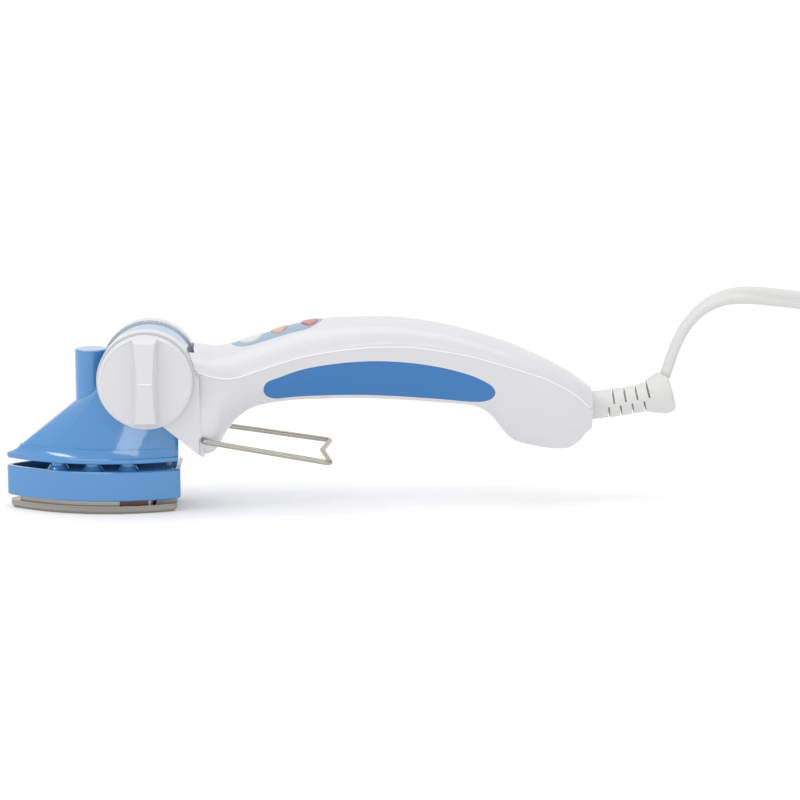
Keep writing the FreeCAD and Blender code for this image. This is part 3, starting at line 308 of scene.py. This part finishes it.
def ring_deck():
    """The deck just under the ring's rim that the bosses stand on, open at the nose."""
    # the deck's blue is lighter than the ring's own blue: painted light standing in for light
    # bounced into the shaded gap under the housing
    painted_bounce_matt = plastic("deck_painted_bounce_blue", (0.12, 0.38, 0.74), 0.8)
    painted_bounce_matt.node_tree.nodes["Principled BSDF"].inputs["Specular IOR Level"].default_value = 0.1
    side = arc_points(*DECK_FLANK, 24)
    side += arc_points(*DECK_CORNER, 5)[1:]
    outline = side + [(x, -y) for x, y in reversed(side)]
    points = [Vector((x - math.copysign(inset, x), y - math.copysign(inset, y), z)) * MM
              for z, inset in DECK_LEVELS for x, y in outline]
    count, top = len(outline), len(DECK_LEVELS) - 1
    faces = [tuple(range(count - 1, -1, -1)), tuple(range(top * count, (top + 1) * count))]
    for level in range(top):
        for n in range(count):
            a, b = level * count + n, level * count + (n + 1) % count
            faces.append((a, b, b + count, a + count))
    deck = make_mesh("ring_deck", points, faces, smooth=False)
    deck.data.materials.append(painted_bounce_matt)
    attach(deck, "head")


# ---------------------------------------------------------------- raised lines

CREASE = [(44, 70.2), (51, 68.6), (58, 66.2), (66, 65.1), (79, 68.4), (89, 71.7), (101, 75.0),
          (110, 76.7), (121, 78.2), (137, 79.4), (149, 79.4), (164, 77.6), (177, 75.4),
          (190, 72.0), (203, 68.1), (215, 64.0), (223, 60.0), (231, 55.0), (238.5, 49.0)]
HALF = [(44, 22.0), (54, 22.0), (62, 21.2), (72, 19.6), (84, 18.6), (100, 18.0), (130, 17.5),
        (180, 17.5), (205, 18.2), (222, 17.6), (234, 15.6), (238.5, 14.0)]
BEAD_FROM, BEAD_TO, BEAD_POINTS = 51, 237.5, 150
BEAD_SUNK = 0.08
KNOB_X, KNOB_Z = 26.8, 64.6
RIM_Y, RIM_RADIUS = -26.9, 21.0
POINTER_Y, POINTER_HALF, POINTER_STEPS = -32.5, 3.3, 10


def guide(points, x):
    """The height at x of a smooth line through (x, height) points."""
    i = max(k for k in range(len(points) - 1) if points[k][0] <= x)

    def slope(k):
        if k in (0, len(points) - 1):
            return 0.0
        left = (points[k][1] - points[k - 1][1]) / (points[k][0] - points[k - 1][0])
        right = (points[k + 1][1] - points[k][1]) / (points[k + 1][0] - points[k][0])
        return 0.0 if left * right <= 0 else 2 * left * right / (left + right)

    (x0, y0), (x1, y1) = points[i], points[i + 1]
    step = x1 - x0
    t = (x - x0) / step
    start, end = slope(i) * step, slope(i + 1) * step
    return (y0 * (1 + 2 * t) * (1 - t) ** 2 + y1 * t * t * (3 - 2 * t)
            + start * t * (1 - t) ** 2 - end * t * t * (1 - t))


def bead(name, places, radius, body, material, sides=10):
    """A thin raised line, moulded along a run of points in mm."""
    line = [Vector(place) * MM for place in places]
    section = [(radius * MM * math.cos(2 * math.pi * k / sides),
                radius * MM * math.sin(2 * math.pi * k / sides)) for k in range(sides)]
    thing = swept(name, line, section, lambda gone: 0.0)
    thing.data.materials.append(material)
    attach(thing, body)


def raised_lines():
    """The parting-line beads along both flanks, and the knob's rim and pointer."""
    # the beads' white is lighter than the shells' white plastic: a painted highlight along the
    # parting lines and the knob's pointer
    white = plastic("bead_painted_highlight_white", (0.82, 0.82, 0.83), 0.2, coat=0.4)
    # the knob's rim bead is a slightly lighter copy of the white plastic: a painted highlight on
    # the rim's edge
    rim_painted_highlight_white = plastic("rim_painted_highlight_white", (0.66, 0.66, 0.68), 0.26, coat=0.2)
    for name, side in (("parting_bead_near", -1), ("parting_bead_far", 1)):
        run = []
        for k in range(BEAD_POINTS):
            x = BEAD_FROM + (BEAD_TO - BEAD_FROM) * k / (BEAD_POINTS - 1)
            run.append((x, side * (guide(HALF, x) - BEAD_SUNK), guide(CREASE, x)))
        bead(name, run, 0.3, "handle", white)
    rim = [(KNOB_X + RIM_RADIUS * math.cos(math.radians(t)), RIM_Y,
            KNOB_Z + RIM_RADIUS * math.sin(math.radians(t))) for t in range(0, 361, 3)]
    bead("knob_rim_bead", rim, 0.33, "knob", rim_painted_highlight_white)
    pointer = [(KNOB_X - POINTER_HALF + 2 * POINTER_HALF * k / POINTER_STEPS, POINTER_Y, KNOB_Z)
               for k in range(POINTER_STEPS + 1)]
    bead("knob_pointer_bead", pointer, 0.3, "knob", white)


# ---------------------------------------------------------------- the flat two-core cord

CORD_WIDE, CORD_THICK = 0.0086, 0.0047
ROUTE = [(274.4, 0, 62.0), (278.1, 0, 75.0), (284.7, 0, 88.2), (295.1, 0, 97.6),
         (308.3, 0, 101.6), (329, 0, 99.7), (350, 0, 96.8), (369.5, 0, 87.3), (386, 0.5, 72.0),
         (401, 2, 54.5), (417, 4.5, 39), (437, 9.4, 28.6), (457.5, 17.5, 22.2)]
TAIL = [(482, 19, 2.7), (498, 13, 3.2), (508, 9.4, 4.6), (516, 7, 6)]
HANK_X, WAIST_Y, WAIST_TURN, LOOP_TURN, LOOP_X = 430, 4.7, 33.7, 26, 46
SHOULDER_END, WAIST_END = (27.6, 18.4), (22.7, 13.5)
SHOULDER_SWEEP, WAIST_SWEEP, WAIST_SHORTER = math.radians(135), math.radians(45), 0.94
HANK_TURNS, LAYER = 4 - 0.12, 4.9
LOWEST_LAYER, TIE_LIFT, TIE_REACH = 2.35, 1.0, 30
STEPS = 24
SMOOTHING = 8
SECTION_STEPS, CORE_SWEEP = 11, 130
TWIST_ON, TWIST_OFF = (0.026, 0.080), (0.120, 0.215)


def loop_point(share):
    """A point on one turn of the hank, in mm from its middle. 0 is the far end's tip, and it
    runs the way that the cord comes in: round the far loop, back, and round the near loop."""
    shoulder = SHOULDER_SWEEP * LOOP_TURN
    straight = math.hypot(SHOULDER_END[0] - WAIST_END[0], SHOULDER_END[1] - WAIST_END[1])
    waist = WAIST_SWEEP * WAIST_TURN * WAIST_SHORTER
    quarter = shoulder + straight + waist
    place = (share % 1.0) * 4 * quarter
    side, along = int(place // quarter), place % quarter
    if side % 2:
        along = quarter - along
    if along <= shoulder:
        angle = along / LOOP_TURN
        x, y = LOOP_X + LOOP_TURN * math.cos(angle), LOOP_TURN * math.sin(angle)
    elif along <= shoulder + straight:
        step = (along - shoulder) * math.sqrt(0.5)
        x, y = SHOULDER_END[0] - step, SHOULDER_END[1] - step
    else:
        angle = WAIST_SWEEP * (quarter - along) / waist
        x = WAIST_END[0] * math.sin(angle) / math.sin(WAIST_SWEEP)
        rise = (1 - math.cos(angle)) / (1 - math.cos(WAIST_SWEEP))
        y = WAIST_Y + (WAIST_END[1] - WAIST_Y) * rise
    return (x if side in (0, 3) else -x), (-y if side < 2 else y)


def hank_points():
    """The hank's turns, from the top one down to the floor, lifted a little at the tie."""
    count = int(HANK_TURNS * STEPS)
    points = []
    for k in range(count + 1):
        turn = HANK_TURNS * k / count
        x, y = loop_point(turn)
        lift = TIE_LIFT * max(0.0, 1 - abs(x) / TIE_REACH)
        points.append((HANK_X + x, y, LOWEST_LAYER + (HANK_TURNS - turn) * LAYER + lift))
    return points


def smooth_line(points, per_run):
    """Points along the route's own smooth spline."""
    curve = bpy.data.curves.new("route", "CURVE")
    curve.dimensions = "3D"
    spline = curve.splines.new("NURBS")
    spline.points.add(len(points) - 1)
    for point, place in zip(spline.points, points):
        point.co = (*[c * MM for c in place], 1)
    spline.order_u = 3
    spline.use_endpoint_u = True
    spline.resolution_u = per_run
    route = bpy.data.objects.new("route", curve)
    mesh = bpy.data.meshes.new_from_object(route)
    line = [vertex.co.copy() for vertex in mesh.vertices]
    bpy.data.objects.remove(route)
    bpy.data.curves.remove(curve)
    bpy.data.meshes.remove(mesh)
    return line


def make_mesh(name, points, faces, smooth=True):
    """A new object from points in metres and faces."""
    mesh = bpy.data.meshes.new(name)
    mesh.from_pydata([tuple(p) for p in points], [], faces)
    mesh.polygons.foreach_set("use_smooth", [smooth] * len(mesh.polygons))
    mesh.update()
    thing = bpy.data.objects.new(name, mesh)
    bpy.context.scene.collection.objects.link(thing)
    return thing


def swept(name, line, section, twist):
    """A closed tube: a cross-section carried along a line, turned about it by twist(length)."""
    points, faces, gone = [], [], 0.0
    ring = len(section)
    for k, place in enumerate(line):
        before, after = line[max(k - 1, 0)], line[min(k + 1, len(line) - 1)]
        along = (after - before).normalized()
        gone += (place - before).length
        side = Vector((0, 0, 1)).cross(along).normalized()
        up = along.cross(side)
        angle = twist(gone)
        wide = side * math.cos(angle) + up * math.sin(angle)
        thick = along.cross(wide)
        points += [place + wide * u + thick * v for u, v in section]
    for k in range(len(line) - 1):
        for n in range(ring):
            a, b = k * ring + n, k * ring + (n + 1) % ring
            faces.append((a, b, b + ring, a + ring))
    faces.append(tuple(range(ring - 1, -1, -1)))
    last = (len(line) - 1) * ring
    faces.append(tuple(range(last, last + ring)))
    return make_mesh(name, points, faces)


def twin_section():
    """Two round cores side by side, with a shallow groove where they meet."""
    core = CORD_THICK / 2
    centre = CORD_WIDE / 2 - core
    section = []
    for side in (1, -1):
        for k in range(SECTION_STEPS):
            angle = math.radians(CORE_SWEEP * (2 * k / (SECTION_STEPS - 1) - 1))
            section.append((side * (centre + core * math.cos(angle)),
                            side * core * math.sin(angle)))
    return section


def ease(start, end, value):
    """0 before start, 1 after end, and a smooth step between."""
    t = min(max((value - start) / (end - start), 0.0), 1.0)
    return t * t * (3 - 2 * t)


def cord_twist(gone):
    """The flat cord lies flat at the bulb and on the floor, and stands on edge in the arch."""
    return math.pi / 2 * (ease(*TWIST_ON, gone) - ease(*TWIST_OFF, gone))


def cord(material):
    """The cord from the bulb to the plug, in the place of its CAD tubes."""
    line = smooth_line(ROUTE + hank_points()[1:] + TAIL, SMOOTHING)
    flex = swept("flex", line, twin_section(), cord_twist)
    flex.data.materials.append(material)
    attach(flex, "handle")
    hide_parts("power_cord", "cord_coil", "cord_tail")


camera()
cord_material = dress_nodes()
raised_lines()
cord(cord_material)
studio()
